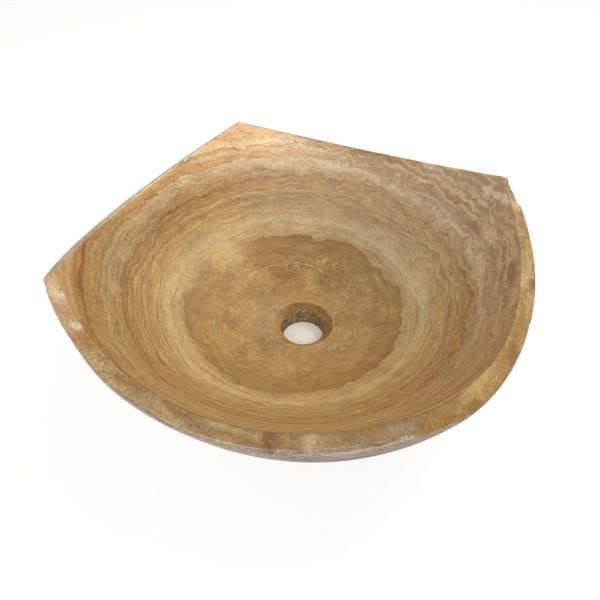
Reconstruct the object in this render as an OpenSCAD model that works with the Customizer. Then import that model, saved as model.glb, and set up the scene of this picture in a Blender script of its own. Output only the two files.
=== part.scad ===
// Vessel basin carved from one block of banded travertine.
// The hollow and the outside are two spheres on one upright axis, the outer one set lower, so that the wall
// thins from the floor to the rim. Four sloping cuts leave a square rim whose sides dip and whose corners rise.
// Origin: centre of the foot's underside, +Z up.

/* [Bowl] */
// Radius of the spherical hollow
bowl_r = 220; // [205:1:250]
// From the axis to the inner edge of the rim, halfway along a side
side_reach = 189; // [176:1:196]
// Slope of each rim face, which falls outwards, in degrees
rim_slope = 32.5; // [26:0.5:38]
// Width of a rim face, halfway along a side
rim_w = 16; // [11:0.5:22]
// Width of the eased edges of the rim
rim_ease = 1.2; // [0.5:0.1:2.5]

/* [Foot] */
// Thickness of the stone under the middle of the hollow
floor_t = 21; // [17:0.5:30]
// Diameter of the flat foot
foot_d = 170; // [130:1:190]

/* [Drain] */
// Diameter of the drain hole
drain_d = 44.5; // [38:0.5:50]
// Diameter of the dished seat round the drain hole
seat_d = 63; // [56:0.5:72]
// Depth of the seat's lower edge under the middle of the hollow
seat_depth = 4.5; // [2:0.5:8]
// Radius of the rounded lip where the seat turns into the hole
lip_r = 3; // [1:0.5:5]
// Radius of the rounded edge where the hollow turns into the seat
brow_r = 6; // [2:0.5:10]

/* [Hidden] */
$fn = 128;
SIDES = 4;
ARC_STEPS = 8;
CLEAR = 5;
STONE = [0.71, 0.58, 0.39];

bowl_z = floor_t + bowl_r;
rim_z = hollow_z(side_reach);
normal = [sin(rim_slope), 0, cos(rim_slope)];
inner_edge = [side_reach, 0, rim_z];
outer_edge = inner_edge + rim_w * [cos(rim_slope), 0, -sin(rim_slope)];

// The outer sphere passes through the rim's outer edge and the edge of the foot.
foot_r = foot_d / 2;
shell_z = (pow(outer_edge.x, 2) + pow(outer_edge.z, 2) - pow(foot_r, 2)) / (2 * outer_edge.z);
shell_r = sqrt(pow(foot_r, 2) + pow(shell_z, 2));
block = 4 * bowl_r;

drain_r = drain_d / 2;
seat_r = seat_d / 2;
brow_end_r = seat_r + 2 * brow_r;
seat_foot = [drain_r, floor_t - seat_depth];
seat_top = [seat_r, hollow_z(seat_r)];
brow_end = [brow_end_r, hollow_z(brow_end_r)];

// Height of the hollow's surface at a distance from the axis
function hollow_z(reach) = bowl_z - section_r(bowl_r, reach);

// Height of a point over the plane of the first rim face
function over_rim(point) = (point - inner_edge) * normal;

// Radius of a sphere's section at a distance from its centre
function section_r(radius, away) = sqrt(pow(radius, 2) - pow(away, 2));

// Points of the arc that rounds the corner at b between the lines to a and c
function rounded(a, b, c, radius) =
    let (u = (a - b) / norm(a - b), v = (c - b) / norm(c - b))
    let (half = acos(u * v) / 2, run = radius / tan(half))
    let (middle = b + (u + v) / norm(u + v) * radius / sin(half))
    let (first = b + run * u - middle, last = b + run * v - middle)
    let (turn = acos(first * last / pow(radius, 2)))
    [for (i = [0:ARC_STEPS]) let (t = i / ARC_STEPS)
        middle + (sin((1 - t) * turn) * first + sin(t * turn) * last) / sin(turn)];

module each_side() {
    for (i = [0:SIDES - 1]) rotate([0, 0, i * 360 / SIDES]) children();
}

// Sets what is drawn upright on the rim face, with its origin beside the centre of a sphere on the axis.
module on_rim_over(centre_z) {
    centre = [0, 0, centre_z];
    translate(centre - over_rim(centre) * normal) rotate([0, rim_slope, 0]) children();
}

module side_cut() {
    translate(inner_edge) rotate([0, rim_slope, 0]) translate([-block / 2, -block / 2, 0]) cube(block);
}

// Cone that eases the edge between the hollow and a rim face
module inner_ease() {
    over = over_rim([0, 0, bowl_z]);
    edge_r = section_r(bowl_r, over);
    wall_r = section_r(bowl_r, over + rim_ease);
    slant = edge_r + rim_ease - wall_r;
    on_rim_over(bowl_z) translate([0, 0, -2 * rim_ease])
        cylinder(h = 4 * rim_ease, r1 = wall_r - slant, r2 = wall_r + 3 * slant);
}

// Conical ring that eases the edge between the outside and a rim face
module outer_ease() {
    over = over_rim([0, 0, shell_z]);
    edge_r = section_r(shell_r, over);
    wall_r = section_r(shell_r, over + rim_ease);
    slant = wall_r - edge_r + rim_ease;
    on_rim_over(shell_z) rotate_extrude() polygon([
        [wall_r + slant, -2 * rim_ease],
        [wall_r + slant + CLEAR, -2 * rim_ease],
        [wall_r + slant + CLEAR, rim_ease],
        [wall_r - 2 * slant, rim_ease]
    ]);
}

// Dished seat and through hole, turned on the axis
module drain() {
    brow = rounded(seat_foot, seat_top, brow_end, brow_r);
    rotate_extrude() polygon(concat(
        [[0, brow_end.y + CLEAR], [0, -CLEAR], [drain_r, -CLEAR]],
        rounded([drain_r, 0], seat_foot, seat_top, lip_r),
        brow,
        [[brow[ARC_STEPS].x, brow_end.y + CLEAR]]
    ));
}

module basin() {
    color(STONE) difference() {
        translate([0, 0, shell_z]) sphere(r = shell_r);
        translate([-block / 2, -block / 2, -block]) cube(block);
        translate([0, 0, bowl_z]) sphere(r = bowl_r);
        each_side() side_cut();
        each_side() inner_ease();
        each_side() outer_ease();
        drain();
    }
}

basin();
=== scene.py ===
import math

import bpy
import numpy as np
from mathutils import Matrix, Vector, noise


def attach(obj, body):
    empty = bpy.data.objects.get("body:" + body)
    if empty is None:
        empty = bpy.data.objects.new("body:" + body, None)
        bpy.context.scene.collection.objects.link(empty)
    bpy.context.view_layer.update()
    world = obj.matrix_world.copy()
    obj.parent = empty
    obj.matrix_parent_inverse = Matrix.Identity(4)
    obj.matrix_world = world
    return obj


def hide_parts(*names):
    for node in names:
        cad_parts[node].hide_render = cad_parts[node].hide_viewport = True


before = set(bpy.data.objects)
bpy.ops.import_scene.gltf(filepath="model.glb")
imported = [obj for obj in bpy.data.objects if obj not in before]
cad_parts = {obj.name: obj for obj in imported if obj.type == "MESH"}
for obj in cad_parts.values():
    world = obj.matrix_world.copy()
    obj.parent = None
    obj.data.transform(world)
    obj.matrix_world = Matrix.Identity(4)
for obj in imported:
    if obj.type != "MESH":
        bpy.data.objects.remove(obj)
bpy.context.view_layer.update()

# Lengths below are in millimetres, angles in degrees, and MM turns a length into metres.
MM = 0.001

# Driving dimensions of the basin, the same as in the construction
BOWL_R = 220
SIDE_REACH = 189
RIM_SLOPE = 32.5
RIM_W = 16
FLOOR_T = 21
FOOT_D = 170
DRAIN_D = 44.5
SEAT_D = 63
SEAT_DEPTH = 4.5

# Worn edges: how far the rounding reaches to each side of a sharp edge
RIM_WEAR = 2.2
OUTER_WEAR = 3.8
FOOT_WEAR = 1.0
BORE_WEAR = 0.8
RIDGE_WEAR = 0.5
LIP_WEAR = 1.8
BROW_WEAR = 1.3

# The four rim faces were cut by hand. For each one, from +X on round: degrees that it is turned, degrees
# that it is steeper, and how far it lies higher than the drawn one.
CUTS = ((-3.4, -1.8, -2.8), (1.7, -0.8, -0.4), (-0.9, -0.3, 0.6), (2.3, -3.7, 0.5))

# Near the rim the outside is ground to a sphere that lies lower and is smaller than the drawn one, but is
# fuller towards the corners. It bulges and dips besides: degrees from +X, reach in degrees, height.
GROUND_LOWER = 3.7
GROUND_SMALLER = 2.4
CORNERS_FULLER = 3.6
BULGES = ((14, 20, 2.0), (240, 8, -1.6))

# The rim next to the right corner is trimmed. The trim starts with a small step and runs out softly: where
# it starts and ends, in degrees from +X, over how many degrees it runs out, and its depth.
TRIM_FROM = 37.4
TRIM_TO = 47
TRIM_RUNOUT = 3
TRIM_DEPTH = 3.6

# Wear of the whole stone: how deep it is, and the size of its unevenness
WORN_DEEP = 0.12
WORN_SIZE = 34

# Roughness of the drilled wall: how deep it is, its unevenness, and the sizes of that
DRILLED_DEEP = 0.35
DRILLED_UNEVEN = 0.5
DRILLED_SIZES = (3.4, 1.3)

# Crumbling of the rim: size of the crumbs, how rare they are and how deep, for coarse and for fine ones
CRUMBS = ((6, 0.25, 1.6), (2.2, 0.35, 1.6))

# Chips out of the rim's edges: x, y, z, radius and depth
CHIPS = (
    (150, 139, 152, 8, 1.6),
    (163, 123, 148, 6, 1.2),
    (-148, -138, 155, 7, 1.2),
    (136, -150, 149, 5, 0.9),
    (-101, -171, 140, 6, 0.8),
    (52, -178, 133, 5, 0.7),
)

# How steep the chips are, how ragged, and the size of the raggedness
CHIP_STEEP = 1.2
CHIP_RAGGED = 0.8
CHIP_GRAIN = 2

# How much the rim face crumbles, where its edges do fully
FACE_CRUMBLING = 0.2

# The mesh: azimuths round the stone, and rows of points in each part of its section
AZIMUTHS = 768
BORE_FOOT_ROWS = 2
BORE_ROWS = 11
LIP_ROWS = 5
SEAT_ROWS = 5
BROW_ROWS = 4
HOLLOW_ROWS = 43
INNER_EDGE_ROWS = 5
RIM_ROWS = 9
OUTER_EDGE_ROWS = 8
OUTSIDE_ROWS = 28
FOOT_EDGE_ROWS = 4
FOOT_ROWS = 5

# Rows of the worn outer edge that look like the rim; the others look like the outside
OUTER_EDGE_ON_RIM = 3

# The camera, found from the circles of the rim and from the hollow
CAMERA_PITCH = 45.4
CAMERA_TURN = 25.4
CAMERA_PLACE = (-3.3, -351.4, 414.6)
FOCAL_LENGTH = 29.8
SENSOR = 36

BOWL_Z = FLOOR_T + BOWL_R
RIM_Z = BOWL_Z - math.sqrt(BOWL_R ** 2 - SIDE_REACH ** 2)
SLOPE = math.radians(RIM_SLOPE)
OUTER_R = SIDE_REACH + RIM_W * math.cos(SLOPE)
OUTER_Z = RIM_Z - RIM_W * math.sin(SLOPE)
FOOT_R = FOOT_D / 2
DRAIN_R = DRAIN_D / 2
SEAT_R = SEAT_D / 2
SHELL_Z = (OUTER_R ** 2 + OUTER_Z ** 2 - FOOT_R ** 2) / (2 * OUTER_Z)
SHELL_R = math.hypot(FOOT_R, SHELL_Z)
GROUND_Z = SHELL_Z - GROUND_LOWER
GROUND_R = SHELL_R - GROUND_SMALLER

# Spheres on the axis, as (radius, height of the centre)
BOWL = (BOWL_R, BOWL_Z)
SHELL = (SHELL_R, SHELL_Z)

AZIMUTH = np.arange(AZIMUTHS) * 2 * math.pi / AZIMUTHS


# Shape of the stone. Its section is a closed row of (r, z) points, one such row for each azimuth.

def all_round(r, z):
    """One point of the section, alike at every azimuth."""
    return np.tile(np.array([r, z], float), (AZIMUTHS, 1))


def level_all_round(polar):
    """One polar angle, alike at every azimuth."""
    return np.full(AZIMUTHS, polar)


def steps(count):
    """Shares of the way for count points, with the end left out."""
    return (np.arange(count) / count)[None, :, None]


def line(a, b, count):
    """count points from a towards b."""
    t = steps(count)
    return a[:, None, :] * (1 - t) + b[:, None, :] * t


def bend(a, corner, b, count):
    """count points of the soft curve from a towards b that turns at a corner."""
    t = steps(count)
    a, corner, b = a[:, None, :], corner[:, None, :], b[:, None, :]
    return a * (1 - t) ** 2 + corner * 2 * t * (1 - t) + b * t ** 2


def on_sphere(sphere, polar):
    """(r, z) on a sphere on the axis, at an angle from its lowest point."""
    radius, centre_z = sphere
    radius = np.reshape(radius, (-1,) + (1,) * (polar.ndim - 1))
    return np.stack([radius * np.sin(polar), centre_z - radius * np.cos(polar)], axis=-1)


def arc(from_sphere, to_sphere, start, end, count):
    """count points along a meridian between two polar angles, from one sphere towards another."""
    t = steps(count)
    polar = start[:, None] * (1 - t[..., 0]) + end[:, None] * t[..., 0]
    return on_sphere(from_sphere, polar) * (1 - t) + on_sphere(to_sphere, polar) * t


def part_way(a, b, distance):
    """The points that lie at a distance from a on the way to b."""
    step = b - a
    return a + step * (distance / np.linalg.norm(step, axis=-1, keepdims=True))


def ground_sphere():
    """The sphere that the outside is ground to near the rim, with a radius for each azimuth."""
    degrees = np.degrees(AZIMUTH)
    fuller = CORNERS_FULLER * (0.5 - 0.5 * np.cos(len(CUTS) * AZIMUTH))
    for middle, reach, height in BULGES:
        fuller = fuller + height * np.exp(-(((degrees - middle + 180) % 360 - 180) / reach) ** 2)
    trimmed = TRIM_DEPTH * (degrees > TRIM_FROM) * np.clip((TRIM_TO - degrees) / TRIM_RUNOUT, 0, 1)
    return GROUND_R + fuller - trimmed, GROUND_Z


def cut_planes():
    """For each cut: how far its normal leans out, the way it leans, how upright it is, and the level."""
    planes = []
    for number, (turned, steeper, higher) in enumerate(CUTS):
        middle = number * 2 * math.pi / len(CUTS)
        way = middle + math.radians(turned)
        slope = math.radians(RIM_SLOPE + steeper)
        lean, upright = math.sin(slope), math.cos(slope)
        level = SIDE_REACH * math.cos(way - middle) * lean + RIM_Z * upright + higher
        planes.append((lean, way, upright, level))
    return planes


def lowest(values, soft):
    """The least of several values, rounded over where two of them are nearly alike."""
    return -soft * np.log(np.exp(-np.array(values) / soft).sum(axis=0))


def rim_polar(sphere):
    """Polar angle at which a sphere first meets one of the cuts."""
    radius, centre_z = sphere
    angles = []
    for lean, way, upright, level in cut_planes():
        across = lean * np.cos(AZIMUTH - way)
        reach = (level - centre_z * upright) / radius
        angles.append(np.arctan2(upright, across) + np.arcsin(reach / np.hypot(across, upright)))
    return lowest(angles, RIDGE_WEAR / radius)


def on_cuts(rows):
    """The same points, each brought to the height of the lowest cut over it."""
    azimuth = AZIMUTH.reshape(-1, *[1] * (rows.ndim - 2))
    heights = [(level - rows[..., 0] * lean * np.cos(azimuth - way)) / upright
               for lean, way, upright, level in cut_planes()]
    return np.stack([rows[..., 0], lowest(heights, RIDGE_WEAR)], axis=-1)


# Each part of the section gives its zone, how much it crumbles, and its points.

def drain_parts(brow_polar):
    """The bore from the foot up, the lip, the dished seat and the brow round it."""
    bore_foot = all_round(DRAIN_R, 0)
    bore_start = all_round(DRAIN_R, BORE_WEAR)
    seat_foot = all_round(DRAIN_R, FLOOR_T - SEAT_DEPTH)
    seat_top = on_sphere(BOWL, level_all_round(math.asin(SEAT_R / BOWL_R)))
    lip_start = part_way(seat_foot, bore_foot, LIP_WEAR)
    lip_end = part_way(seat_foot, seat_top, LIP_WEAR)
    brow_start = part_way(seat_top, seat_foot, BROW_WEAR)
    brow_end = on_sphere(BOWL, brow_polar)
    return (
        ("bore", 0, bend(all_round(DRAIN_R + BORE_WEAR, 0), bore_foot, bore_start, BORE_FOOT_ROWS)),
        ("bore", 0, line(bore_start, lip_start, BORE_ROWS)),
        ("bore", 0, bend(lip_start, seat_foot, lip_end, LIP_ROWS)),
        ("hollow", 0, line(lip_end, brow_start, SEAT_ROWS)),
        ("hollow", 0, bend(brow_start, seat_top, brow_end, BROW_ROWS)),
    )


def rim_parts(ground, inner, outer, inner_end, outer_end):
    """The rim face with the worn edges on both its sides, between the hollow and the ground outside."""
    inner_edge, outer_edge = on_sphere(BOWL, inner), on_sphere(ground, outer)
    face_start = on_cuts(part_way(inner_edge, outer_edge, RIM_WEAR))
    face_end = on_cuts(part_way(outer_edge, inner_edge, OUTER_WEAR))
    outer_bend = bend(face_end, outer_edge, on_sphere(ground, outer_end), OUTER_EDGE_ROWS)
    return (
        ("rim", 1, bend(on_sphere(BOWL, inner_end), inner_edge, face_start, INNER_EDGE_ROWS)),
        ("rim", FACE_CRUMBLING, on_cuts(line(face_start, face_end, RIM_ROWS))),
        ("rim", 1, outer_bend[:, :OUTER_EDGE_ON_RIM]),
        ("outside", 1, outer_bend[:, OUTER_EDGE_ON_RIM:]),
    )


def foot_parts(foot_polar):
    """The foot's worn edge, and the foot as far as the bore."""
    edge_start, foot_edge = on_sphere(SHELL, foot_polar), all_round(FOOT_R, 0)
    foot_start = all_round(FOOT_R - FOOT_WEAR, 0)
    return (
        ("outside", 0, bend(edge_start, foot_edge, foot_start, FOOT_EDGE_ROWS)),
        ("outside", 0, line(foot_start, all_round(DRAIN_R + BORE_WEAR, 0), FOOT_ROWS)),
    )


def section():
    """All parts of the section in turn, round to where they start."""
    ground = ground_sphere()
    inner, outer = rim_polar(BOWL), rim_polar(ground)
    inner_end, outer_end = inner - RIM_WEAR / BOWL_R, outer - OUTER_WEAR / SHELL_R
    brow_polar = level_all_round(math.asin(SEAT_R / BOWL_R) + BROW_WEAR / BOWL_R)
    foot_polar = level_all_round(math.asin(FOOT_R / SHELL_R) + FOOT_WEAR / SHELL_R)
    return (
        *drain_parts(brow_polar),
        ("hollow", 0, arc(BOWL, BOWL, brow_polar, inner_end, HOLLOW_ROWS)),
        *rim_parts(ground, inner, outer, inner_end, outer_end),
        ("outside", 0, arc(ground, SHELL, outer_end, foot_polar, OUTSIDE_ROWS)),
        *foot_parts(foot_polar),
    )


def crumbled_by(place):
    """How far an edge of the rim is broken back at a place."""
    broken = 0
    for size, rare, deep in CRUMBS:
        broken += max(0, noise.noise(place / size) - rare) * deep
    for x, y, z, radius, depth in CHIPS:
        near = 1 - (place - Vector((x, y, z))).length / radius
        steep = CHIP_STEEP + CHIP_RAGGED * noise.noise(place / CHIP_GRAIN)
        broken += depth * max(0, near * steep)
    return broken


def worn_by(place, zone, crumbling):
    """How far the stone is worn back at a place. The foot stays flat."""
    if place.z < FOOT_WEAR / 2:
        return 0
    worn = WORN_DEEP + WORN_DEEP * noise.noise(place / WORN_SIZE)
    if zone == "bore":
        rough = sum(DRILLED_UNEVEN * noise.noise(place / size) for size in DRILLED_SIZES)
        worn += max(0, DRILLED_DEEP + rough)
    if crumbling:
        worn += crumbling * crumbled_by(place)
    return worn


def grid_faces(count):
    """Faces of a grid with count rows that closes on itself both ways."""
    a, r = np.meshgrid(np.arange(AZIMUTHS), np.arange(count), indexing="ij")
    next_a, next_r = (a + 1) % AZIMUTHS, (r + 1) % count
    corners = (a * count + r, a * count + next_r, next_a * count + next_r, next_a * count + r)
    return np.stack(corners, axis=-1).reshape(-1, 4)


def shape_stone():
    """The whole stone as one closed grid, azimuths one way and the section the other way."""
    parts = section()
    rows = np.concatenate([points for _, _, points in parts], axis=1)
    zones = [zone for zone, _, points in parts for _ in range(points.shape[1])]
    crumbling = [share for _, share, points in parts for _ in range(points.shape[1])]
    count = len(zones)
    x = rows[..., 0] * np.cos(AZIMUTH)[:, None]
    y = rows[..., 0] * np.sin(AZIMUTH)[:, None]
    points = np.stack([x, y, rows[..., 1]], axis=-1).reshape(-1, 3)
    mesh = bpy.data.meshes.new("basin_stone")
    mesh.from_pydata(points.tolist(), [], grid_faces(count).tolist())
    outwards = np.zeros(points.size)
    mesh.vertices.foreach_get("normal", outwards)
    worn = [worn_by(Vector(place), zones[i % count], crumbling[i % count])
            for i, place in enumerate(points)]
    points = (points - outwards.reshape(-1, 3) * np.array(worn)[:, None]) * MM
    mesh.vertices.foreach_set("co", points.ravel())
    mesh.polygons.foreach_set("material_index", np.tile([ZONES.index(zone) for zone in zones], AZIMUTHS))
    mesh.shade_smooth()
    mesh.validate()
    stone = bpy.data.objects.new("basin_stone", mesh)
    bpy.context.scene.collection.objects.link(stone)
    return stone


# Nodes of materials

# Sockets of the Mix node that carry colours
MIX_UNDER, MIX_OVER, MIX_RESULT = 6, 7, 2

# Vector operations that give one number
MEASURES = ("LENGTH", "DISTANCE", "DOT_PRODUCT")

# What the noise is on average, and about what the squared distance in a cell is
NOISE_MIDDLE = 0.5
DOME_MIDDLE = 0.3


def level_way(azimuth):
    """Level direction, with 0 to the photograph's right and 90 to its back."""
    turned = math.radians(azimuth + CAMERA_TURN)
    return (math.cos(turned), math.sin(turned), 0)


def srgb(red, green, blue):
    """A colour written as 0 to 255, as the shader wants it."""
    def linear(value):
        value = value / 255
        return value / 12.92 if value <= 0.04045 else ((value + 0.055) / 1.055) ** 2.4
    return (linear(red), linear(green), linear(blue), 1)


def between(share, start, end):
    """start where the share is 0, and end where it is 1."""
    return share * (end - start) + start


class Field:
    """Something that varies over a surface; ordinary sums with it become nodes."""

    def __init__(self, graph, socket):
        self.graph = graph
        self.socket = socket

    def __add__(self, other):
        return self.graph.math("ADD", self, other)

    def __sub__(self, other):
        return self.graph.math("SUBTRACT", self, other)

    def __mul__(self, other):
        return self.graph.math("MULTIPLY", self, other)

    def __truediv__(self, other):
        return self.graph.math("DIVIDE", self, other)


class Graph:
    """Builds the nodes of one material or world."""

    def __init__(self, owner):
        owner.use_nodes = True
        self.tree = owner.node_tree
        self.tree.nodes.clear()

    def node(self, kind, **settings):
        made = self.tree.nodes.new(kind)
        for name, value in settings.items():
            setattr(made, name, value)
        return made

    def out(self, node, name=0):
        return Field(self, node.outputs[name])

    def feed(self, socket, value):
        """Gives a socket a fixed value, or one that varies."""
        if isinstance(value, Field):
            self.tree.links.new(value.socket, socket)
        else:
            socket.default_value = value

    def math(self, operation, *values):
        made = self.node("ShaderNodeMath", operation=operation)
        for socket, value in zip(made.inputs, values):
            self.feed(socket, value)
        return self.out(made)

    def vector(self, operation, *values):
        made = self.node("ShaderNodeVectorMath", operation=operation)
        for socket, value in zip(made.inputs, values):
            self.feed(socket, value)
        return self.out(made, "Value" if operation in MEASURES else "Vector")

    def millimetres(self):
        """Place on the object."""
        return self.vector("DIVIDE", self.out(self.node("ShaderNodeTexCoord"), "Object"), (MM,) * 3)

    def noise(self, place, size, detail=2, roughness=0.5):
        """Cloudy values about 0, mostly within half a unit."""
        made = self.node("ShaderNodeTexNoise")
        self.feed(made.inputs["Vector"], place)
        made.inputs["Scale"].default_value = 1 / size
        made.inputs["Detail"].default_value = detail
        made.inputs["Roughness"].default_value = roughness
        return self.out(made, "Fac") - NOISE_MIDDLE

    def cells(self, place, size):
        """Distance to the nearest of scattered points, and a random value for each point's cell."""
        made = self.node("ShaderNodeTexVoronoi")
        self.feed(made.inputs["Vector"], place)
        made.inputs["Scale"].default_value = 1 / size
        split = self.node("ShaderNodeSeparateColor")
        self.feed(split.inputs[0], self.out(made, "Color"))
        return self.out(made, "Distance"), self.out(split)

    def fade(self, value, begins, full, start=0, end=1):
        """Goes smoothly from start, where the value is at begins, to end, where it is at full."""
        made = self.node("ShaderNodeMapRange", interpolation_type="SMOOTHSTEP")
        self.feed(made.inputs["Value"], value)
        self.feed(made.inputs["From Min"], begins)
        self.feed(made.inputs["From Max"], full)
        self.feed(made.inputs["To Min"], start)
        self.feed(made.inputs["To Max"], end)
        return self.out(made, "Result")

    def band(self, value, low, high, soft):
        """1 between low and high, 0 outside, with soft ends."""
        return self.fade(value, low - soft, low + soft) * self.fade(value, high - soft, high + soft, 1, 0)

    def thread(self, value, core, edge):
        """1 in thin threads where a value is nearly 0, 0 beside them."""
        return self.fade(self.math("ABSOLUTE", value), core, edge, 1, 0)

    def ramp(self, value, stops):
        """Colour by value, from (value, colour) stops."""
        low, high = stops[0][0], stops[-1][0]
        made = self.node("ShaderNodeValToRGB")
        self.feed(made.inputs[0], (value - low) / (high - low))
        marks = made.color_ramp.elements
        for at, _ in stops[1:-1]:
            marks.new((at - low) / (high - low))
        for mark, (_, colour) in zip(marks, stops):
            mark.color = srgb(*colour)
        return self.out(made, "Color")

    def mix(self, share, under, over):
        """A share of one colour over another."""
        made = self.node("ShaderNodeMix", data_type="RGBA")
        self.feed(made.inputs["Factor"], share)
        self.feed(made.inputs[MIX_UNDER], under)
        self.feed(made.inputs[MIX_OVER], over)
        return self.out(made, MIX_RESULT)

    def scale(self, colour, times):
        """A colour made lighter or darker."""
        made = self.node("ShaderNodeVectorMath", operation="SCALE")
        self.feed(made.inputs[0], colour)
        self.feed(made.inputs["Scale"], times)
        return self.out(made)

    def split_by_ray(self, light, seen):
        """One shader for the light, and another for what the camera sees."""
        made = self.node("ShaderNodeMixShader")
        self.feed(made.inputs[0], self.out(self.node("ShaderNodeLightPath"), "Is Camera Ray"))
        self.feed(made.inputs[1], light)
        self.feed(made.inputs[2], seen)
        return self.out(made)

    def show(self, shader, kind="ShaderNodeOutputMaterial"):
        """Ends the graph with its shader."""
        self.feed(self.node(kind).inputs["Surface"], shader)


# Looks of the stone

# Zones of the stone, and how rough each is
ROUGHNESS = {"hollow": 0.36, "rim": 0.5, "outside": 0.4, "bore": 0.8}
ZONES = tuple(ROUGHNESS)
STONE_IOR = 1.5

# The layers dip a little, and heights are counted from the lowest point of the hollow. Some looks belong to
# the high layers and some to the low ones: where they begin and where they are full.
DIP = (0.0424, -0.0053)
HIGH = (50, 85)
LOW = (27, 14)

# Sides of the block with a look of their own: the level way that each faces, with 0 at the photograph's
# right and 90 at its back, and how far out that way the look begins and is full
CRUMPLED_SIDE = (34, 0, 140)
CORNER_SIDE = (124, 112, 180)
# The mauve side carries a painted sheen besides the stone's tint
MAUVE_SIDE = (72, 70, 150)
VAGUE_SIDE = (-165, -30, 70)
SHADED_SEAT_SIDE = (50, -26, 20)
HAZY_SIDE = (165, 40, 120)
PALE_HAZE_SIDE = (120, 20, 90)
SPECKLED_SIDE = (-165, 70, 170)
# The grey side carries a painted grey reflection on the outside
GREY_SIDE = (-140, 60, 170)

# The left front, where the worn edge has painted grey reflection and shade and a painted white highlight
# line: the way that it faces, and how far out that way the grey and the white begin and are full
FRONT_WAY = -106
GREY_FRONT = (172, 190)
WHITE_FRONT = (182, 193)

# Heights between which single looks lie, and where the painted light and tones of the high layers take over
MAUVE_LAYERS = (40, 84)
BROWN_EDGE = (24, 31)
LIGHT_AND_TONES_CHANGE = (50, 70)

# The thin vein that curls over the drain is part of an oval: its middle, the way that it lies, and how far
# it reaches along that way and across
CURL_MIDDLE = (-43, 46, 0)
CURL_WAY = 10
CURL_ALONG = 42
CURL_ACROSS = 18

# How far from the axis the painted light and tones begin and are full, and the width of the pale edge round
# the seat
LIT_AND_TONED = (30, 80)
BROW_PALE_WIDTH = 3

# Looks next to the outer edge of the rim, among them painted grey reflections and a painted highlight line:
# how far outside the ground sphere they begin and are full, or the highlight line begins and ends, and how
# much wider the haze is at the back
HAZE = (-11, -1)
PALE_HAZE_WIDER = 4
EDGE_REFLECTION_REACH = (-2.9, -2.3)
OUTSIDE_REFLECTION_REACH = (-2.4, -1)
HIGHLIGHT_LINE_REACH = (-3.1, -2.8)
POLISHED = (-3, -1)

# How much less rough the polished edge is, and how much the dark mottle, partly painted shade, covers of
# the drilled wall
POLISH = 0.34
BORE_DARKENING = 0.86

# Width and height of the lenses, streaks and threads along the layers, and of the upright fibres
LENS = (50, 6)
STREAK = (30, 1.5)
THREAD = (60, 3.4)
FIBRE = (2.2, 8)

# How much they lighten and darken the stone: fibres on the calm and the crumpled side, and less at the
# corner; grain on the rim and elsewhere, and more in low and high layers
LENS_TONE = 0.3
STREAK_TONE = 1.05
THREAD_TONE = 0.14
FIBRE_TONES = (0.62, 0.42)
FIBRES_LESS = 0.35
RIM_GRAIN = 1.0
GRAIN = 0.8
LOW_GRAIN = 0.3
HIGH_GRAIN = 0.2

# How far lenses bend the layers on the calm and on the crumpled side, and how deep pores are
LENS_BENDS = (8, 15)
PORE_DEPTH = 0.7

GOLD = srgb(208, 168, 100)
BROWN = srgb(156, 110, 62)
PALE_VEIN = srgb(226, 192, 136)
PALE_CURL = srgb(228, 194, 138)
MAUVE_AND_SHEEN = srgb(190, 160, 140)
VAGUE_EDGE = srgb(186, 149, 93)
SEAT_BROWN_AND_SHADE = srgb(144, 103, 53)
SEAT_DOT = srgb(84, 62, 38)
SEAT_PAINTED_LIGHT = srgb(216, 168, 108)
BROW_LIGHT = srgb(222, 190, 136)
LEFT_HAZE = srgb(206, 176, 138)
REAR_HAZE = srgb(236, 228, 210)
PALE_SPECK = srgb(242, 214, 170)
BROWN_SPECK = srgb(178, 120, 74)
GREY_EDGE_SHADE_AND_REFLECTION = srgb(164, 146, 132)
WHITE_HIGHLIGHT_LINE = srgb(236, 228, 220)
GREY_OUTSIDE_REFLECTION = srgb(206, 190, 184)
RUST = srgb(140, 88, 56)
CRYSTAL = srgb(244, 226, 194)
DARK_BORE = srgb(104, 76, 44)
PALE_BORE = srgb(204, 176, 132)
PORE = srgb(92, 62, 38)

# Colour by height over the lowest point of the hollow. The low layers are alike all round the block, and
# the high ones differ between its calm side, its crumpled side and the corner at the back.
LOW_LAYERS = (
    (-24, (176, 140, 86)),
    (-16, (196, 166, 118)),
    (-10, (178, 144, 92)),
    (-6, (190, 154, 98)),
    (-3.5, (178, 138, 78)),
    (-1, (192, 155, 96)),
    (1, (182, 141, 79)),
    (3, (190, 152, 90)),
    (5, (177, 136, 74)),
    (7.4, (191, 153, 93)),
    (9.6, (178, 137, 75)),
    (12, (182, 140, 76)),
    (12.8, (196, 160, 100)),
    (13.6, (175, 136, 77)),
    (17, (182, 146, 88)),
    (20, (171, 132, 74)),
    (24, (178, 140, 82)),
    (28.4, (162, 121, 68)),
    (29, (194, 160, 106)),
    (33, (201, 170, 117)),
    (35.6, (203, 172, 120)),
    (36.2, (186, 154, 104)),
    (37.2, (208, 180, 130)),
    (41, (209, 182, 134)),
    (43, (198, 166, 112)),
    (45.6, (204, 172, 118)),
    (46.2, (168, 134, 84)),
    (46.8, (204, 172, 118)),
    (49.6, (196, 162, 108)),
    (50.4, (184, 148, 94)),
)
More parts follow.
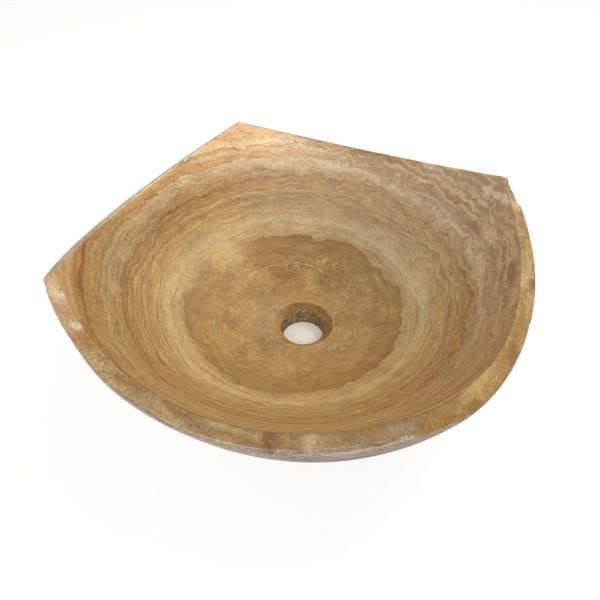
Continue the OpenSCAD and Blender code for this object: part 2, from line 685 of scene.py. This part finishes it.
MIDDLE_LAYERS = (
    (50.4, (184, 148, 94)),
    (51.2, (198, 164, 110)),
    (52.4, (182, 146, 92)),
    (54.6, (190, 154, 100)),
    (55.4, (208, 178, 126)),
    (56.2, (186, 150, 96)),
    (57.6, (186, 150, 96)),
    (58.4, (158, 118, 68)),
    (59.2, (196, 162, 108)),
    (61, (182, 146, 92)),
    (62, (208, 177, 126)),
    (62.8, (184, 147, 93)),
    (64.4, (175, 136, 80)),
    (66, (197, 160, 106)),
    (67.6, (169, 128, 74)),
    (69, (192, 153, 99)),
    (70.4, (181, 140, 86)),
    (71.4, (166, 122, 74)),
    (72, (154, 112, 70)),
    (72.6, (194, 159, 109)),
    (74, (182, 147, 98)),
    (75.4, (200, 167, 118)),
    (76.6, (181, 145, 96)),
    (77.6, (174, 135, 85)),
    (78.6, (201, 169, 120)),
    (80, (188, 154, 105)),
)
CALM_LAYERS = (
    (80, (188, 154, 105)),
    (81.6, (178, 142, 93)),
    (83, (204, 174, 127)),
    (85, (178, 144, 94)),
    (87, (204, 174, 127)),
    (89.6, (190, 157, 107)),
    (90.8, (172, 130, 82)),
    (92, (198, 160, 106)),
    (95, (186, 148, 96)),
    (98, (202, 166, 112)),
    (101, (188, 150, 96)),
    (103, (198, 160, 106)),
    (105.6, (194, 153, 98)),
    (107, (176, 128, 78)),
    (108.2, (160, 112, 66)),
    (109.2, (180, 132, 80)),
    (110.4, (196, 155, 99)),
    (113, (186, 142, 91)),
    (116, (208, 169, 117)),
    (118, (222, 186, 131)),
    (122, (213, 174, 122)),
    (128, (216, 181, 127)),
    (140, (204, 168, 116)),
)
CRUMPLED_LAYERS = (
    (80, (200, 168, 126)),
    (83, (213, 186, 148)),
    (86, (189, 153, 111)),
    (88.2, (194, 158, 115)),
    (89.8, (214, 187, 148)),
    (91, (183, 138, 95)),
    (92.8, (198, 163, 121)),
    (96, (187, 149, 104)),
    (97.4, (200, 165, 122)),
    (98.8, (216, 188, 148)),
    (100.8, (208, 176, 134)),
    (102.4, (183, 139, 97)),
    (104.4, (191, 153, 110)),
    (106, (208, 176, 134)),
    (107.6, (214, 184, 142)),
    (109.2, (203, 169, 126)),
    (110.8, (182, 139, 99)),
    (113, (196, 160, 118)),
    (115, (216, 186, 146)),
    (117, (203, 169, 126)),
    (119, (188, 150, 108)),
    (121.4, (197, 161, 119)),
    (123.6, (214, 183, 140)),
    (126, (196, 160, 118)),
    (129, (190, 152, 110)),
    (133.4, (216, 186, 142)),
    (140, (198, 162, 116)),
)
CORNER_LAYERS = (
    (80, (198, 166, 120)),
    (82, (216, 186, 142)),
    (84, (206, 174, 128)),
    (86, (226, 200, 158)),
    (88, (214, 186, 142)),
    (90.2, (236, 212, 170)),
    (90.9, (190, 132, 80)),
    (92, (217, 177, 125)),
    (95, (212, 165, 112)),
    (98, (232, 194, 142)),
    (100.6, (226, 182, 128)),
    (102.2, (208, 158, 104)),
    (102.9, (166, 112, 66)),
    (103.7, (232, 198, 146)),
    (104.6, (250, 230, 186)),
    (105.6, (228, 186, 132)),
    (106.6, (248, 224, 176)),
    (107.8, (240, 199, 143)),
    (111, (232, 188, 132)),
    (115, (236, 190, 134)),
    (120, (240, 198, 142)),
    (140, (234, 192, 138)),
)

# Painted light and shade together with the stone's own tone: how much of the layers' colour is kept at each
# side of the block, by azimuth from the photograph's right; 225 leaves it as it is. The first two tables
# are for the low and the high layers of the hollow, and the outside's table paints shade and a grey
# reflection of the floor.
UNCHANGED = 225
LOW_ROUND = (
    (-180, (243, 241, 231)),
    (-135, (252, 251, 243)),
    (-90, (245, 241, 231)),
    (-45, (233, 228, 218)),
    (0, (225, 225, 229)),
    (45, (211, 217, 237)),
    (90, (219, 223, 238)),
    (135, (230, 228, 213)),
    (180, (243, 241, 231)),
)
HIGH_ROUND = (
    (-180, (234, 233, 229)),
    (-135, (244, 240, 228)),
    (-90, (247, 245, 234)),
    (-45, (234, 228, 222)),
    (0, (222, 225, 229)),
    (45, (224, 233, 252)),
    (75, (236, 246, 255)),
    (105, (240, 243, 250)),
    (125, (232, 230, 225)),
    (150, (216, 214, 203)),
    (180, (233, 231, 227)),
)
RIM_ROUND = (
    (-180, (250, 246, 240)),
    (-156, (216, 208, 196)),
    (-144, (205, 202, 175)),
    (-132, (215, 225, 222)),
    (-120, (206, 214, 217)),
    (-108, (219, 243, 255)),
    (-98, (196, 206, 205)),
    (-84, (173, 173, 161)),
    (-78, (162, 156, 132)),
    (-62, (169, 156, 129)),
    (-48, (217, 223, 205)),
    (-36, (211, 207, 175)),
    (-24, (212, 209, 173)),
    (-12, (221, 220, 199)),
    (0, (210, 208, 186)),
    (14, (204, 205, 206)),
    (24, (222, 237, 253)),
    (44, (232, 244, 255)),
    (60, (180, 172, 168)),
    (74, (216, 215, 210)),
    (88, (200, 185, 172)),
    (108, (238, 238, 242)),
    (130, (224, 232, 238)),
    (156, (213, 216, 213)),
    (180, (250, 246, 240)),
)
OUTSIDE_ROUND = (
    (-180, (235, 245, 255)),
    (-132, (228, 242, 255)),
    (-108, (165, 181, 224)),
    (-90, (134, 148, 181)),
    (-78, (146, 157, 190)),
    (-56, (172, 180, 208)),
    (0, (190, 205, 240)),
    (180, (225, 235, 255)),
)
ZONE_ROUND = {"rim": RIM_ROUND, "outside": OUTSIDE_ROUND}

# Stains and pale patches of each zone, and a painted sheen in the hollow: centre, reach to each side,
# colour and strength
PATCHES = {
    "rim": (
        ((64, -184, 130), (8, 9, 10), (132, 86, 48), 0.9),
        ((73, -181, 132), (13, 9, 7), (150, 108, 66), 0.6),
        ((92, -175, 135), (16, 12, 8), (158, 116, 80), 0.4),
        ((87, -177, 134), (5, 7, 8), (222, 196, 152), 0.35),
        ((139, -154, 149), (17, 9, 9), (158, 142, 124), 0.45),
        ((124, -162, 143), (8, 10, 8), (152, 106, 72), 0.3),
        ((-96, -174, 138), (14, 9, 9), (186, 124, 70), 0.55),
        ((-105, -170, 141), (7, 3.5, 4), (240, 226, 194), 0.6),
        ((-127, -159, 148), (9, 8, 6), (240, 222, 190), 0.6),
        ((-142, -147, 155), (8, 8, 5), (206, 150, 98), 0.4),
        ((-142, -162, 152), (14, 14, 7), (250, 218, 176), 0.5),
        ((193, -42, 122), (7, 14, 7), (150, 96, 60), 0.5),
        ((-124, -160, 146), (9, 8, 8), (200, 136, 82), 0.4),
        ((-168, -122, 144), (15, 18, 10), (246, 218, 184), 0.5),
        ((-190, 15, 130), (14, 110, 30), (244, 226, 194), 0.6),
        ((154, 141, 149), (10, 13, 6), (176, 152, 120), 0.75),
        ((164, 122, 144), (7, 8, 7), (236, 210, 166), 0.6),
        ((176, 96, 134), (8, 10, 9), (200, 146, 90), 0.4),
        ((195, 42, 123), (6, 7, 7), (150, 100, 62), 0.7),
        ((186, 40, 127), (8, 12, 9), (226, 186, 128), 0.5),
        ((16, -193, 126), (14, 8, 9), (150, 120, 82), 0.25),
        ((-30, -196, 126), (18, 8, 9), (158, 134, 100), 0.4),
    ),
    "hollow": (
        ((136, 141.5, 141.4), (7, 7, 4), (236, 220, 190), 1.2),
        ((144, 135, 143), (7, 7, 4), (236, 220, 190), 1.2),
        ((153, 127, 146), (7, 7, 4.4), (236, 220, 190), 1.1),
        ((148, 141, 148), (8, 7, 5), (146, 116, 80), 0.6),
        ((4, 187, 126), (42, 12, 6), (160, 128, 92), 0.7),
        ((-58, 180, 129), (34, 12, 6), (182, 144, 106), 0.65),
        ((177, 52, 122), (5, 18, 8), (150, 92, 54), 0.5),
        # Painted sheen: a warm patch of painted light low in the hollow
        ((-108, 30, 52), (26, 22, 14), (226, 188, 112), 0.6),
        ((-139, 20, 72), (12, 34, 6), (164, 130, 80), 0.35),
        ((-45, -12, 24), (22, 24, 9), (210, 172, 110), 0.5),
        ((-50, 52, 34), (28, 14, 9), (156, 112, 64), 0.5),
        ((4, 74, 34), (18, 12, 9), (154, 108, 66), 0.5),
        ((133, 115, 108), (12, 12, 5), (156, 104, 70), 0.3),
        ((-164, 96, 131), (22, 30, 9), (255, 226, 176), 0.35),
        ((-98, 167, 134), (24, 18, 7), (206, 170, 130), 0.35),
        ((130, -134, 127), (34, 30, 13), (160, 124, 78), 0.2),
        ((149, 106, 119), (14, 22, 8), (240, 212, 176), 0.4),
        ((-177, 21, 112), (10, 16, 6), (220, 190, 144), 0.45),
        ((-177, -22, 113), (10, 15, 7), (218, 186, 138), 0.45),
        ((-163, -57, 106), (9, 15, 7), (218, 188, 140), 0.5),
        ((-142, -101, 106), (10, 9, 7), (224, 194, 144), 0.55),
        ((-48, 171, 110), (20, 9, 4), (236, 214, 178), 0.6),
        ((-2, 173, 105), (24, 9, 5), (226, 200, 166), 0.5),
        ((135, 118, 112.5), (10, 13, 2.4), (150, 90, 56), 0.35),
    ),
}


class Travertine(Graph):
    """Banded stone. The bands are layers of the block, bent into domes with cusps between them."""

    def __init__(self, material, zone):
        super().__init__(material)
        self.zone = zone
        self.place = self.millimetres()
        self.height = self.vector("DOT_PRODUCT", self.place, (*DIP, 1)) - FLOOR_T
        self.off_axis = self.vector("LENGTH", self.vector("MULTIPLY", self.place, (1, 1, 0)))
        self.outside_edge = self.vector("DISTANCE", self.place, (0, 0, GROUND_Z)) - GROUND_R
        self.crumple = self.side(CRUMPLED_SIDE)
        self.corner = self.side(CORNER_SIDE)
        self.high = self.fade(self.height, *HIGH)
        self.low = self.fade(self.height, *LOW)
        bent = self.height + self.bends() + self.ripples()
        rise = self.node("ShaderNodeCombineXYZ")
        self.feed(rise.inputs["Z"], bent)
        self.bed = self.vector("ADD", self.vector("MULTIPLY", self.place, (1, 1, 0)), self.out(rise))
        self.lenses = self.lying(LENS, detail=4, roughness=0.6)
        self.layer = bent + self.lenses * between(self.crumple, *LENS_BENDS)

    def towards(self, azimuth):
        """How far out a place lies in a level direction."""
        return self.vector("DOT_PRODUCT", self.place, level_way(azimuth))

    def side(self, side, start=0, end=1):
        """Goes from start to end towards a side of the block."""
        way, begins, full = side
        return self.fade(self.towards(way), begins, full, start, end)

    def cloud(self, size, amount=1, flatter=1, detail=2, roughness=0.5):
        """Cloudy values about 0, mostly within half the amount."""
        place = self.vector("DIVIDE", self.place, (1, 1, flatter))
        return self.noise(place, size, detail, roughness) * amount

    def domes(self, size, amount, flatter):
        """Swellings about 0 with cusps between them."""
        away, _ = self.cells(self.vector("DIVIDE", self.place, (1, 1, flatter)), size)
        return (away * away - DOME_MIDDLE) * amount

    def patches(self, size, begins, full, detail=2, roughness=0.5):
        """1 in scattered patches, 0 between them."""
        return self.fade(self.cloud(size, detail=detail, roughness=roughness), begins, full)

    def lying(self, shape, detail, roughness=0.5):
        """Cloudy values about 0 in pieces that lie along the layers."""
        width, height = shape
        place = self.vector("DIVIDE", self.bed, (width, width, height))
        return self.noise(place, 1, detail, roughness)

    def tint(self, colour, over, where, strength=1):
        """A colour with another over it, as strong as this where it is 1."""
        return self.mix(where * strength, colour, over)

    def bends(self):
        """Large bends of the layers. They sway and swell into domes, and fold on the crumpled side."""
        crumpled = self.crumple * self.high
        sway = self.cloud(size=80, amount=8, flatter=2)
        domes = self.domes(size=34, amount=5, flatter=3.5) * self.high
        folds = self.domes(size=22, amount=6, flatter=2.2) * crumpled
        buckles = self.cloud(size=20, amount=16, detail=3, roughness=0.6) * crumpled
        return sway + domes + folds + buckles

    def ripples(self):
        """Small bends of the layers, which curl where the hollow is nearly flat."""
        ragged = self.fade(self.cloud(size=45), begins=-0.14, full=0.16, start=0.3, end=1.5)
        curved = between(self.crumple, start=2.2, end=4.2)
        scallops = self.domes(size=13, amount=1, flatter=3) * curved * ragged
        curls = self.cloud(size=34, amount=30, flatter=1.5, detail=5, roughness=0.66) * self.low
        cusps = self.domes(size=6, amount=2.2, flatter=2)
        wrinkles = self.cloud(size=4, amount=4.5, detail=4, roughness=0.7)
        fine = (cusps + wrinkles) * ragged * between(self.high, start=0.6, end=1)
        fuzz = self.cloud(size=2.8, detail=3, roughness=0.75)
        fuzz = fuzz * between(self.crumple, start=2.6, end=6) * self.high
        return scallops + curls + fine + fuzz

    def layer_colour(self):
        """Colour of the layers, from the low ones to the high ones of each side."""
        middle_from, high_from = MIDDLE_LAYERS[0][0], CALM_LAYERS[0][0]
        calm, crumpled = self.ramp(self.layer, CALM_LAYERS), self.ramp(self.layer, CRUMPLED_LAYERS)
        high = self.mix(self.crumple, calm, crumpled)
        high = self.mix(self.corner, high, self.ramp(self.layer, CORNER_LAYERS))
        in_middle = self.math("GREATER_THAN", self.layer, middle_from)
        low = self.mix(in_middle, self.ramp(self.layer, LOW_LAYERS), self.ramp(self.layer, MIDDLE_LAYERS))
        return self.mix(self.fade(self.layer, high_from - 1, high_from + 1), low, high)

    def lit_and_toned_round(self, colour):
        """Painted light and shade, with some of the stone's own tone, on each side of the block; none near
        the axis.
        """
        azimuth = self.math("DEGREES", self.math("ARCTAN2", self.towards(90), self.towards(0)))
        if self.zone in ZONE_ROUND:
            lit_tone = self.ramp(azimuth, ZONE_ROUND[self.zone])
        else:
            risen = self.fade(self.height, *LIGHT_AND_TONES_CHANGE)
            lit_tone = self.mix(risen, self.ramp(azimuth, LOW_ROUND), self.ramp(azimuth, HIGH_ROUND))
        unchanged = srgb(UNCHANGED, UNCHANGED, UNCHANGED)
        lit_tone = self.mix(self.fade(self.off_axis, *LIT_AND_TONED), unchanged, lit_tone)
        return self.scale(self.vector("MULTIPLY", colour, lit_tone), 1 / unchanged[0])

    def mauve_veil_and_sheen(self, colour):
        """A mauve veil over the middle layers at the rear right: partly the stone's tint, partly a painted
        sheen.
        """
        veil_and_sheen = self.band(self.height, *MAUVE_LAYERS, soft=8) * self.side(MAUVE_SIDE)
        return self.tint(colour, MAUVE_AND_SHEEN, veil_and_sheen, strength=0.2)

    def mottled(self, colour):
        """Golden and brown mottling with pale curled veins where the hollow is nearly flat."""
        mottling = self.cloud(size=22, flatter=2, detail=5, roughness=0.75)
        golden = self.fade(mottling, begins=0, full=0.14)
        brown = self.fade(mottling, begins=-0.03, full=-0.14)
        colour = self.tint(colour, GOLD, golden * self.low, strength=0.45)
        colour = self.tint(colour, BROWN, brown * self.low, strength=0.45)
        veins = self.thread(self.cloud(size=38, detail=3), core=0.002, edge=0.02)
        broken = self.patches(size=24, begins=-0.02, full=0.12)
        return self.tint(colour, PALE_VEIN, veins * broken * self.low, strength=0.5)

    def vague_edge(self, colour):
        """The edge of the floor's brown layer is vague on the photograph's left."""
        edge = self.band(self.layer, *BROWN_EDGE, soft=2) * self.side(VAGUE_SIDE)
        cloudy = self.cloud(size=9, amount=2, detail=5, roughness=0.8) + 0.6
        return self.tint(colour, VAGUE_EDGE, edge * cloudy)

    def curl(self, colour):
        """A thin vein curls over the drain."""
        apart = self.vector("SUBTRACT", self.place, CURL_MIDDLE)
        along = self.vector("DOT_PRODUCT", apart, level_way(CURL_WAY)) / CURL_ALONG
        across = self.vector("DOT_PRODUCT", apart, level_way(CURL_WAY + 90)) / CURL_ACROSS
        shaken = self.cloud(size=22, amount=1.1, detail=3, roughness=0.55)
        vein = self.thread(along * along + across * across + shaken - 1, core=0.02, edge=0.13)
        broken = self.fade(self.cloud(size=15, detail=3) + across * 0.12, begins=-0.12, full=0.06)
        return self.tint(colour, PALE_CURL, vein * broken * self.low, strength=0.65)

    def seat(self, colour):
        """The dished seat is a little darker than the hollow and dotted, with painted shade towards its
        rear right and painted light on its front left, and the edge round it pale.
        """
        reach = self.off_axis + self.cloud(size=5, amount=2, detail=3)
        seat = self.fade(reach, begins=SEAT_R, full=SEAT_R - 1)
        shaded = self.side(SHADED_SEAT_SIDE, start=0.35)
        cloudy = self.cloud(size=6, amount=2, detail=5, roughness=0.85) + 0.58
        # Brown of the seat, deepened towards the rear right as painted shade
        colour = self.tint(colour, SEAT_BROWN_AND_SHADE, seat * shaded * cloudy)
        dots = self.patches(size=2.6, begins=0, full=0.1, detail=3, roughness=0.85)
        dots = dots * self.fade(shaded, begins=0.6, full=1)
        colour = self.tint(colour, SEAT_DOT, seat * dots, strength=0.7)
        # Painted light on the seat's front left
        light = self.fade(shaded, begins=0.8, full=0.35)
        colour = self.tint(colour, SEAT_PAINTED_LIGHT, seat * light, strength=0.6)
        brow = self.band(reach, SEAT_R, SEAT_R + BROW_PALE_WIDTH, soft=0.8)
        return self.tint(colour, BROW_LIGHT, brow, strength=0.2)

    def rim_haze(self, colour):
        """The rim is paler towards its outer edge on the photograph's left, the more so at the back."""
        rear = self.side(PALE_HAZE_SIDE)
        haze = self.fade(self.outside_edge + rear * PALE_HAZE_WIDER, *HAZE) * self.side(HAZY_SIDE)
        return self.tint(colour, self.mix(rear, LEFT_HAZE, REAR_HAZE), haze, strength=0.8)

    def rim_specks(self, colour):
        """Pale and brown specks on the rim, most of all at the left corner."""
        specks = self.cloud(size=2.4, detail=3, roughness=0.75)
        pale = self.fade(specks, begins=0.02, full=0.14)
        brown = self.fade(specks, begins=-0.02, full=-0.14)
        colour = self.tint(colour, PALE_SPECK, pale * self.side(SPECKLED_SIDE, start=0.04, end=0.3))
        return self.tint(colour, BROWN_SPECK, brown * self.side(SPECKLED_SIDE, start=0.06, end=0.36))

    def edge_reflection_and_highlight(self, colour):
        """Painted grey reflection and shade on the worn outer edge at the left front, and a painted white
        highlight line where the rim face ends.
        """
        front = self.towards(FRONT_WAY) + self.cloud(size=14, amount=12, detail=3)
        inwards = self.outside_edge + self.cloud(size=5, amount=0.7, detail=3)
        grey = self.fade(inwards, *EDGE_REFLECTION_REACH) * self.fade(front, *GREY_FRONT)
        colour = self.tint(colour, GREY_EDGE_SHADE_AND_REFLECTION, grey, strength=0.7)
        white = self.band(inwards, *HIGHLIGHT_LINE_REACH, soft=0.25) * self.fade(front, *WHITE_FRONT)
        return self.tint(colour, WHITE_HIGHLIGHT_LINE, white, strength=0.7)

    def grey_outside_reflection(self, colour):
        """Painted grey reflection on the outside next to the worn edge at the left front."""
        grey = self.fade(self.outside_edge, *OUTSIDE_REFLECTION_REACH) * self.side(GREY_SIDE)
        return self.tint(colour, GREY_OUTSIDE_REFLECTION, grey, strength=0.5)

    def stains_and_sheen(self, colour):
        """Stains and pale patches with ragged edges, and a painted sheen in the hollow."""
        ragged = self.cloud(size=8, amount=1.8, detail=6, roughness=0.8)
        grainy = self.math("MAXIMUM", self.cloud(size=2.2, amount=3.2, detail=3, roughness=0.8) + 1, 0)
        for centre, reach, patch_colour, strength in PATCHES.get(self.zone, ()):
            apart = self.vector("DIVIDE", self.vector("SUBTRACT", self.place, centre), reach)
            away = self.vector("LENGTH", apart) + ragged
            spread = self.fade(away, begins=1.2, full=0.5) * grainy
            colour = self.tint(colour, srgb(*patch_colour), spread, strength)
        return colour

    def grained(self, colour):
        """Clouds, streaks and threads along the layers, upright fibres in the high ones, and fine grain."""
        clouds = self.cloud(size=15, amount=0.9, detail=6, roughness=0.84)
        streaks = self.lying(STREAK, detail=4, roughness=0.7) * STREAK_TONE
        broken = self.patches(size=26, begins=-0.05, full=0.12)
        threads = self.thread(self.lying(THREAD, detail=2), core=0, edge=0.03) * broken * THREAD_TONE
        width, length = FIBRE
        upright = self.vector("DIVIDE", self.place, (width, width, length))
        fibres = self.noise(upright, size=1, detail=3, roughness=0.7)
        fibres = fibres * (between(self.crumple, *FIBRE_TONES) - self.corner * FIBRES_LESS) * self.high
        coarse = RIM_GRAIN if self.zone == "rim" else GRAIN
        coarse = self.low * LOW_GRAIN + self.high * HIGH_GRAIN + coarse
        grain = self.cloud(size=1.8, detail=3, roughness=0.8) * coarse
        return self.scale(colour, streaks + self.lenses * LENS_TONE + clouds + fibres + grain + threads + 1)

    def speckled(self, colour):
        """Rusty specks along the crumpled layers and pale crystals in the high ones."""
        more = self.side(HAZY_SIDE) * 0.25 if self.zone == "rim" else self.high * 0.3
        rust = self.patches(size=3.4, begins=0.07, full=0.2, detail=4, roughness=0.8)
        rust = rust * self.patches(size=20, begins=-0.02, full=0.16)
        rusty = between(self.crumple * self.high, start=0.2, end=0.7) + more
        colour = self.tint(colour, RUST, rust * rusty)
        crystals = self.patches(size=2.6, begins=0.1, full=0.24, detail=3, roughness=0.8)
        crystals = crystals * self.patches(size=24, begins=-0.02, full=0.14)
        return self.tint(colour, CRYSTAL, crystals * (between(self.high, start=0.12, end=0.47) + more))

    def shaded_rough_bore(self, colour):
        """The drilled wall is rough, mottled and dark: its own colour, darkened by painted shade in the
        bore.
        """
        bore_mottle = self.patches(size=4, begins=-0.1, full=0.12, detail=5, roughness=0.9)
        return self.mix(BORE_DARKENING, colour, self.mix(bore_mottle, DARK_BORE, PALE_BORE))

    def pores(self):
        """Depth of small open pores, of which few cells have one."""
        away, chance = self.cells(self.place, size=5)
        return self.fade(away, begins=0.16, full=0.08) * self.fade(chance, begins=0.86, full=0.88)

    def surface(self, colour, pores):
        """Honed stone with fine unevenness, a little more polished at the outer edge of the rim."""
        roughness = self.cloud(size=12, amount=0.16, detail=3) + ROUGHNESS[self.zone]
        if self.zone == "rim":
            roughness = roughness - self.fade(self.outside_edge, *POLISHED) * POLISH
        bump = self.node("ShaderNodeBump")
        self.feed(bump.inputs["Distance"], MM)
        self.feed(bump.inputs["Height"], self.cloud(size=2.2, amount=0.12, detail=3) - pores * PORE_DEPTH)
        shader = self.node("ShaderNodeBsdfPrincipled")
        self.feed(shader.inputs["Base Color"], colour)
        self.feed(shader.inputs["Roughness"], roughness)
        self.feed(shader.inputs["IOR"], STONE_IOR)
        self.feed(shader.inputs["Normal"], self.out(bump))
        return self.out(shader)


def travertine(zone):
    """Material of one zone of the stone."""
    material = bpy.data.materials.new("travertine_" + zone)
    stone = Travertine(material, zone)
    colour = stone.lit_and_toned_round(stone.layer_colour())
    colour = stone.curl(stone.vague_edge(stone.mottled(stone.mauve_veil_and_sheen(colour))))
    if zone == "hollow":
        colour = stone.seat(colour)
    if zone == "rim":
        colour = stone.edge_reflection_and_highlight(stone.rim_specks(stone.rim_haze(colour)))
    if zone == "outside":
        colour = stone.grey_outside_reflection(colour)
    colour = stone.speckled(stone.grained(stone.stains_and_sheen(colour)))
    if zone == "bore":
        colour = stone.shaded_rough_bore(colour)
    pores = stone.pores()
    colour = stone.tint(colour, PORE, pores, strength=0.5)
    stone.show(stone.surface(colour, pores))
    return material


# Stage, light and camera. Lengths of the stage are in metres.

TARGET = Vector((0, 0, 0.06))
FLOOR_REACH = 6
LAMP_DISTANCE = 1.8
WORLD_LIGHT = 0.3
BACKDROP = 1

# Lamps: azimuth from the photograph's right, elevation, width, height, power and colour
LAMPS = {
    "front": (275, 31, 1.6, 1.1, 21, (1, 1, 1)),
    "rear": (68, 45, 2.2, 1.4, 9, (1, 1, 1)),
    "left": (150, 36, 1.0, 0.8, 2.6, (1, 1, 1)),
    "window": (17, 58, 0.55, 0.4, 4.5, (1, 0.93, 0.8)),
}

# The floor's grey as the light meets it, and the colours and glows that the camera sees under the drain and
# beside the stone. The warm colour under the drain is painted warm light bounced from the stone.
FLOOR_GREY = (0.8, 0.8, 0.8, 1)
FLOOR_UNDER_DRAIN = (0.98, 0.95, 0.78, 1)
FLOOR_BESIDE = (0.36, 0.36, 0.36, 1)
GLOW_UNDER_DRAIN = 0.18
GLOW_BESIDE = 0.76


def hang_lamp(name, azimuth, elevation, width, height, power, colour):
    data = bpy.data.lights.new(name, "AREA")
    data.shape = "RECTANGLE"
    data.size = width
    data.size_y = height
    data.energy = power
    data.color = colour
    lamp = bpy.data.objects.new(name, data)
    rise = math.radians(elevation)
    way = Vector(level_way(azimuth)) * math.cos(rise) + Vector((0, 0, math.sin(rise)))
    lamp.location = TARGET + LAMP_DISTANCE * way
    lamp.rotation_euler = (-way).to_track_quat("-Z", "Y").to_euler()
    bpy.context.scene.collection.objects.link(lamp)


def diffuse(graph, colour):
    shader = graph.node("ShaderNodeBsdfDiffuse")
    graph.feed(shader.inputs["Color"], colour)
    return graph.out(shader)


def pale_floor():
    """Pale floor that the camera sees near white. It keeps the soft shadow of the foot."""
    material = bpy.data.materials.new("pale_floor")
    g = Graph(material)
    beside = g.fade(g.vector("LENGTH", g.millimetres()), DRAIN_D, FOOT_R)
    glow = g.node("ShaderNodeEmission")
    g.feed(glow.inputs["Strength"], between(beside, GLOW_UNDER_DRAIN, GLOW_BESIDE))
    seen = g.node("ShaderNodeAddShader")
    g.feed(seen.inputs[0], diffuse(g, g.mix(beside, FLOOR_UNDER_DRAIN, FLOOR_BESIDE)))
    g.feed(seen.inputs[1], g.out(glow))
    g.show(g.split_by_ray(diffuse(g, FLOOR_GREY), g.out(seen)))
    return material


def lay_floor():
    mesh = bpy.data.meshes.new("floor")
    corners = [(-1, -1), (1, -1), (1, 1), (-1, 1)]
    mesh.from_pydata([(x * FLOOR_REACH, y * FLOOR_REACH, 0) for x, y in corners], [], [(0, 1, 2, 3)])
    floor = bpy.data.objects.new("floor", mesh)
    floor.data.materials.append(pale_floor())
    bpy.context.scene.collection.objects.link(floor)


def background(graph, strength):
    shader = graph.node("ShaderNodeBackground")
    graph.feed(shader.inputs["Strength"], strength)
    return graph.out(shader)


def light_world():
    """Even light from all round, and a pale backdrop for the camera."""
    world = bpy.data.worlds.new("studio")
    bpy.context.scene.world = world
    g = Graph(world)
    g.show(g.split_by_ray(background(g, WORLD_LIGHT), background(g, BACKDROP)), "ShaderNodeOutputWorld")


def place_camera():
    data = bpy.data.cameras.new("camera")
    data.sensor_width = SENSOR
    data.lens = FOCAL_LENGTH
    camera = bpy.data.objects.new("camera", data)
    turn = Matrix.Rotation(math.radians(CAMERA_TURN), 4, "Z")
    camera.location = turn @ (Vector(CAMERA_PLACE) * MM)
    camera.rotation_euler = (math.radians(90 - CAMERA_PITCH), 0, math.radians(CAMERA_TURN))
    bpy.context.scene.collection.objects.link(camera)
    bpy.context.scene.camera = camera


place_camera()
lay_floor()
light_world()
for name, lamp in LAMPS.items():
    hang_lamp(name, *lamp)

stone = shape_stone()
for zone in ZONES:
    stone.data.materials.append(travertine(zone))
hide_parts("basin")
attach(stone, "root")

bpy.context.scene.view_settings.view_transform = "Standard"
